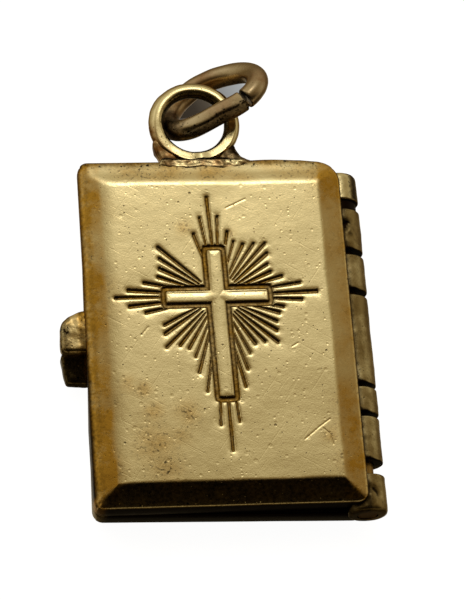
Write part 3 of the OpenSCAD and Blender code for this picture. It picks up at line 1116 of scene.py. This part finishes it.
# The upper thumb piece is black on its tip. The brown by the cover's wall and the black in the corner there
# are painted shadow.
by_wall_from = (-5.95, 0.2)
in_corner_from = (-5.85, 0.1)
on_tip_from = (-6.1, 0.15)
thumb_patches = ((1.8, 12, 0.4),)
thumb_brown = 0.35
wall_shadow_brown = 0.6
thumb_black = 0.12
on_tip_black = 0.5
corner_shadow_black = 0.5
block = worn_block(upper_thumb, low=1.28, high=2.12, rounding=0.22, seed=11, dents=0.035)
spots = points_of(block)
by_wall = rising(spots[:, 0], *by_wall_from)
in_corner = rising(spots[:, 0], *in_corner_from)
on_tip = falling(spots[:, 0], *on_tip_from)
brown = thumb_brown + by_wall * wall_shadow_brown + rippled(spots, thumb_patches)
black = thumb_black + on_tip * on_tip_black + in_corner * corner_shadow_black
finished("engraved_cover_thumb_piece", block, face_finish, "front", "engraved_cover", brown, black)


# The hanging ring: a loop of round wire laid flat against the head of the engraved cover. Its ends meet
# beside the book, where it is worn flat on top, and splayed feet and a rough ledge of solder hold it.
bail = np.array([-0.38, 9.6, 1.75])
bail_r = 1.62
bail_wire_r = 0.33
bail_steps = 144
joint_turn = -83
ring_tarnish = (0.36, 0.15, 0.035)
ring_finish = gold_finish(
    "hanging ring gold", pale_gold, ring_tarnish, tarnish_share=0.03, polish=0.15, pitting=0.5,
    scratching=0.15,
)


def wire_ring(radius, wire_r, sweep, steps, sides=32):
    """Round wire bent to a ring about Z, closed when the sweep is a full turn, and open with flat ends."""
    ring = bmesh.new()
    stand = Matrix.Translation((radius, 0, 0)) @ Matrix.Rotation(math.pi / 2, 4, "X")
    full = math.isclose(sweep, math.tau)
    bmesh.ops.create_circle(ring, cap_ends=not full, segments=sides, radius=wire_r, matrix=stand)
    bmesh.ops.spin(
        ring, geom=list(ring.verts) + list(ring.edges) + list(ring.faces), cent=(0, 0, 0), axis=(0, 0, 1),
        angle=sweep, steps=steps, use_merge=full,
    )
    bmesh.ops.recalc_face_normals(ring, faces=ring.faces)
    return ring


def wire_middles(spots, radius):
    """The place in the middle of a flat ring's wire that belongs to each point on it."""
    middles = spots * np.array([1, 1, 0])
    return middles / np.hypot(middles[:, 0], middles[:, 1])[:, None] * radius


def filed_flat(spots, middles, way, keep, share):
    """Wears points that stand further than keep from the wire's middle, along a way, down to a flat."""
    over = np.clip(((spots - middles) * way).sum(1) - keep, 0, None) * share
    return spots - way * over[:, None]


# The flat on the top of the ring, the one on its outer flank, and the side that lies on the book
tail_spread = 86
top_way = np.array([-0.02, 0.10, 0.995])
top_keep = 0.302
top_keep_less = 0.045
top_share = 0.95
flank_lean = math.radians(42)
flank_keep = 0.285
flank_share = 0.7
book_spread = 45
book_flat = 0.35
ring = wire_ring(bail_r, bail_wire_r, math.tau, bail_steps)
spots = points_of(ring)
middles = wire_middles(spots, bail_r)
outward = middles / bail_r
angle = np.degrees(np.arctan2(spots[:, 1], spots[:, 0]))
from_joint = np.abs((angle - joint_turn + 180) % 360 - 180)
at_tail = np.exp(-((from_joint / tail_spread) ** 6))
flank = outward * math.sin(flank_lean) + np.array([0, 0, math.cos(flank_lean)])
spots = filed_flat(spots, middles, top_way, top_keep - top_keep_less * at_tail, top_share)
spots = filed_flat(spots, middles, flank, flank_keep, flank_share * (1 - at_tail))
across = ((spots - middles) * outward).sum(1)
near_book = np.exp(-((from_joint / book_spread) ** 4))
spots -= outward * (np.clip(across, 0, None) * book_flat * near_book)[:, None]

# The joint is a little thinner than the wire, and pressed in
joint_spread = 9.0
joint_thinner = 0.22
joint_pressed = 0.12
shoulder_spread = 14
shoulder_out = 0.05
ring_bends = (1.1, 21)
bend_share = np.array([0.012, 0.012, 0.05])
ring_dents = ((4.0, 22, 0.012),)
at_joint = around(from_joint, 0, joint_spread)
spots = middles + (spots - middles) * (1 - joint_thinner * at_joint)[:, None]
moved_out = np.exp(-from_joint / shoulder_spread) * shoulder_out - at_joint * joint_pressed
spots += outward * moved_out[:, None]
spots += clouded(spots, *ring_bends)[:, None] * spots * bend_share
spots += rippled(spots, ring_dents)[:, None] * outward
move_to(ring, spots + bail)

# It is brown on its outer side, most of all low on the fore-edge side, and black with painted shade on its
# inner side
to_fore_from = (-0.3, 0.3)
to_tail_from = (0.1, 0.3)
low_fore_brown = 1.2
outer_from = 0.3
outer_brown = 0.2
inner_from = (-0.5, 0.2)
inner_shade_black = 0.92
low_fore = falling(outward[:, 0], *to_fore_from) * falling(outward[:, 1], *to_tail_from)
outer_side = np.clip(across / bail_wire_r, 0, 1)
brown = low_fore * outer_side * low_fore_brown + np.clip(outer_side - outer_from, 0, 1) * outer_brown
black = falling(across / bail_wire_r, *inner_from) * inner_shade_black
finished("hanging_ring", ring, ring_finish, "front", "engraved_cover", brown, black)

# Its feet, each with its name, its plan, and how brown and how black it is
hinge_foot = [
    (0.55, 7.35), (2.5, 7.35), (2.6, 7.62), (1.95, 7.82), (1.52, 8.02), (1.33, 8.3), (1.28, 8.62),
    (0.95, 8.6), (0.5, 7.95),
]
fore_foot = [
    (-1.98, 7.35), (-1.3, 7.35), (-1.2, 7.9), (-1.6, 8.6), (-1.95, 8.95), (-2.22, 8.75), (-2.14, 8.3),
    (-1.99, 7.92), (-1.95, 7.6),
]
feet = [("hinge_side", hinge_foot, 0.7, 0.85), ("fore_side", fore_foot, 0.9, 0.35)]
foot_patches = (3.0, 33)
patch_brown = 0.4
patch_black = 0.6
for name, plan, foot_brown, foot_black in feet:
    foot = worn_block(plan, low=1.45, high=1.98, rounding=0.12, seed=31, dents=0.05)
    patches = clouded(points_of(foot), *foot_patches)
    brown = foot_brown + patches * patch_brown
    black = foot_black + patches * patch_black
    finished(f"hanging_ring_foot_{name}", foot, ring_finish, "front", "engraved_cover", brown, black)

# The ledge of solder between them. Its edge by the ring is black, a painted shadow in the crack between them.
crack_shadow_from = (7.66, 0.05)
ledge_brown = 0.35
ledge_patches = (2.5, 42)
ledge_black = 0.28
ledge_grime = ((3.5, 43, 0.4),)
ledge_plan = [
    (-2.05, 7.5), (-1.5, 7.24), (0.2, 7.3), (1.2, 7.22), (1.8, 7.5), (1.5, 7.8), (0.6, 7.9), (-0.6, 7.86),
    (-1.9, 7.9),
]
ledge = worn_block(ledge_plan, low=1.7, high=2.36, rounding=0.12, seed=41, dents=0.09)
spots = points_of(ledge)
crack_shadow = rising(spots[:, 1], *crack_shadow_from)
brown = ledge_brown + clouded(spots, *ledge_patches)
black = np.maximum(crack_shadow, ledge_black + rippled(spots, ledge_grime))
finished("hanging_ring_solder", ledge, ring_finish, "front", "engraved_cover", brown, black)


# The jump ring: a heavier ring of round wire, pulled long and bent a little three-sided, its ends
# sprung apart. Its front bar, which bears on the hanging ring, is worn to two flats.
jump = np.array([0.45, 10.79, 1.72])
jump_r = 1.82
jump_wire_r = 0.47
jump_steps = 120
jump_open = 4
jump_split = 193
split_pinch = math.radians(2.2)
pinch_reach = 20
end_round = 0.07
end_turn = 1.2
jump_lean = math.radians(44.8)
jump_turn = math.radians(134.4)
jump_pull = 0.166
jump_pull_turn = math.radians(55)
jump_bend = 0.062
jump_bend_turn = math.radians(-27)
jump_gold = (0.71, 0.55, 0.29)
jump_tarnish = (0.36, 0.165, 0.055)
jump_finish = gold_finish(
    "jump ring gold", jump_gold, jump_tarnish, tarnish_share=0.0, polish=0.22, pitting=0.5, scratching=0.2,
)
ring = wire_ring(jump_r, jump_wire_r, math.radians(360 - jump_open), jump_steps)
ends = [edge for edge in ring.edges if len(edge.link_faces) == 2 and edge.calc_face_angle() > end_turn]
bmesh.ops.bevel(ring, geom=ends, offset=end_round, segments=4, profile=0.5, material=-1, affect="EDGES")
bmesh.ops.triangulate(ring, faces=[face for face in ring.faces if len(face.verts) > 4])
spots = points_of(ring)
turn_by = np.arctan2(spots[:, 1], spots[:, 0])
across = np.hypot(spots[:, 0], spots[:, 1]) - jump_r
lie = Matrix.Rotation(jump_turn, 3, "Z") @ Matrix.Rotation(jump_lean, 3, "Y")

# The ends nearly meet on the side away from the camera's eye, and gape on the near side
swept = np.degrees(turn_by) % 360
away = -np.array((lie.transposed() @ back)[:])
by_end = falling(swept, pinch_reach, pinch_reach)
turn_by += math.radians(jump_split + jump_open / 2)
flat_away = np.cos(turn_by) * away[0] + np.sin(turn_by) * away[1]
depth = (spots[:, 2] * away[2] + across * flat_away) / jump_wire_r
turn_by -= by_end * np.clip(0.5 + 0.5 * depth, 0, 1) * split_pinch

# The ring is pulled long, which comes twice in a turn, bent three-sided, and laid down
pulled = 2 * (turn_by - jump_pull_turn)
bent = 3 * (turn_by - jump_bend_turn)
reach = 1 + jump_pull * np.cos(pulled) + jump_bend * np.cos(bent)
slope = -2 * jump_pull * np.sin(pulled) - 3 * jump_bend * np.sin(bent)
facing_out = turn_by - np.arctan2(slope, reach)
middles = np.stack([np.cos(turn_by), np.sin(turn_by), 0 * reach], 1) * (jump_r * reach)[:, None]
out_of_ring = np.stack([np.cos(facing_out), np.sin(facing_out), 0 * reach], 1)
spots = middles + out_of_ring * across[:, None] + spots * np.array([0, 0, 1])
spots = spots @ np.array(lie).T + jump
middles = middles @ np.array(lie).T + jump

# The bar's two flats, each as the way that it faces and the wire that is left, and small waves
bar_start = 84
bar_end = 192
bar_fade = 14
bar_flats = (((0.05, 0.16, 0.985), 0.36), ((0.25, -0.80, 0.545), 0.40))
bar_share = 0.9
wire_waves = ((1.5, 51, 0.018),)
wire_sink = 0.009
turn_deg = np.degrees(turn_by) % 360
on_bar = rising(turn_deg, bar_start, bar_fade) * (turn_deg < bar_end)
for way, keep in bar_flats:
    spots = filed_flat(spots, middles, np.array(way), keep, on_bar * bar_share)
spots += (rippled(spots, wire_waves) - wire_sink)[:, None] * (spots - middles) / jump_wire_r
move_to(ring, spots)

# Brown all round. Black painted shade under the bar, on the bend under the hanging ring, low on the inner
# side and on the cut ends
jump_brown = 0.5
jump_patches = ((0.9, 52, 0.7),)
under_bar_from = (-0.15, 0.25)
under_bar_black = 0.6
bend_start = (38, 16)
bend_end = (106, 12)
bend_black = 0.75
inner_wire_from = (-0.3, 1)
low_wire_from = (0.3, 1)
inner_low_rise = 2.5
inner_low_black = 0.8
cut_end_band = (1.92, 1.6)
on_wire = (spots - middles) / jump_wire_r
brown = jump_brown + rippled(spots, jump_patches)
under_bar_shade = falling(on_wire[:, 1], *under_bar_from) * on_bar * under_bar_black
bend_shade = rising(turn_deg, *bend_start) * falling(turn_deg, *bend_end) * bend_black
inner_low_shade = falling(across / jump_wire_r, *inner_wire_from) * falling(on_wire[:, 2], *low_wire_from)
inner_low_shade = np.clip(inner_low_shade * inner_low_rise, 0, inner_low_black)
cut_end_shade = falling(np.minimum(swept, np.abs(360 - jump_open - swept)), *cut_end_band)
black = np.max([under_bar_shade, bend_shade, inner_low_shade, cut_end_shade], 0)
finished("jump_ring_wire", ring, jump_finish, "front", "jump_ring", brown, black)


# The plain cover is the lower one, with its bevelled face on the table, four knuckles and the lower
# thumb piece. It isn't quite square with the engraved one: it is set back from the fore-edge at the
# head, and stands out a little at the tail of the hinge side.
back_wear = ((0.10, 0.20), (0.06, 0.15), (0.08, 0.2), (0.08, 0.14))
back_corners = {(-1, -1): 0.45, (-1, 1): 0.45, (1, -1): 0.45, (1, 1): 0.45}
fore_part = (-1, 3.6)
fore_skew = math.tan(math.radians(1.4))
fore_set_back = 0.04
tail_part = (-4.5, 2.1)
tail_skew = math.tan(math.radians(1.3))
tail_set_back = 0.05
tail_wall = (0.35, 0.1)
plain_corner = (0.6, 0.4)
plain_corner_clean = 0.75
fore_side = (0.5, 0.15)
fore_side_dirt = 0.55
plain_finish = gold_finish(
    "plain cover gold", pale_gold, brown_tarnish, tarnish_share=0.25, polish=0.18, pitting=0.5,
    scratching=0.5,
)
tray = cover_tray(back_wear, back_corners, 2)
spots = points_of(tray)
in_fore_part = falling(spots[:, 0], *fore_part)
in_tail_part = falling(spots[:, 1], *tail_part)
spots[:, 0] += (fore_set_back + fore_skew * (spots[:, 1] + half_h)) * in_fore_part
spots[:, 1] += (tail_set_back - tail_skew * (spots[:, 0] + half_w)) * in_tail_part
spots[:, 2] = book_t - spots[:, 2]
move_to(tray, spots)
bmesh.ops.recalc_face_normals(tray, faces=tray.faces)
tray = cut_hollows(tray, 1)
spots = points_of(tray)
from_fore, from_hinge, from_head, from_tail = from_edges(spots[:, 0], spots[:, 1])
# Black painted shade on the tail wall, less by the fore-edge corner; dirt along the fore-edge side, and dirt
# and painted shade in the hollows
tail_wall_shade = falling(from_tail, *tail_wall) * (1 - plain_corner_clean * falling(from_fore, *plain_corner))
plain_dirt_and_shade = np.maximum(tail_wall_shade, falling(from_fore, *fore_side) * fore_side_dirt) + hollow_dirt_and_shade(spots)
finished("plain_cover_shell", tray, plain_finish, "back", "plain_cover", dirt_and_shade=plain_dirt_and_shade)
row, tarnish_and_painted_light, dirt_and_shade = knuckle_row(0, 6, end_round=0.06, solder=(-7.2, 0.5, 0.08))
finished("plain_cover_knuckles", row, hinge_finish, "back", "plain_cover", tarnish_and_painted_light, dirt_and_shade)

lower_thumb = [(-5.3, -0.45), (-6.53, -0.5), (-6.44, -1.15), (-6.3, -1.73), (-5.3, -1.76)]
thumb_slope = 0.3
slope_top = -0.5
upper_side = 1
lower_thumb_shade = 0.84


def slope_down(spot):
    """The lower thumb piece slopes down towards the tail."""
    if spot.z > upper_side:
        return Vector((spot.x, spot.y, spot.z + (spot.y - slope_top) * thumb_slope))
    return spot


block = worn_block(lower_thumb, low=0.36, high=1.24, rounding=0.14, seed=13, dents=0.03, shape=slope_down)
# The lower thumb piece is black all over: painted shade.
black = np.full(len(block.verts), lower_thumb_shade)
finished("plain_cover_thumb_piece", block, plain_finish, "back", "plain_cover", dirt_and_shade=black)


# The hinge pin: a plain round wire, pushed through all seven knuckles. It is seen only in the gaps between
# them, where its gold is tarnished and painted dark: painted shade.
pin_shaded_gold = (0.2, 0.13, 0.06)
pin_finish = gold_finish(
    "pin shaded gold", pin_shaded_gold, brown_tarnish, tarnish_share=0.4, polish=0.3, pitting=0.2, scratching=0.2,
)
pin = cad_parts["hinge_pin"]
pin.data.materials.clear()
pin.data.materials.append(pin_finish)
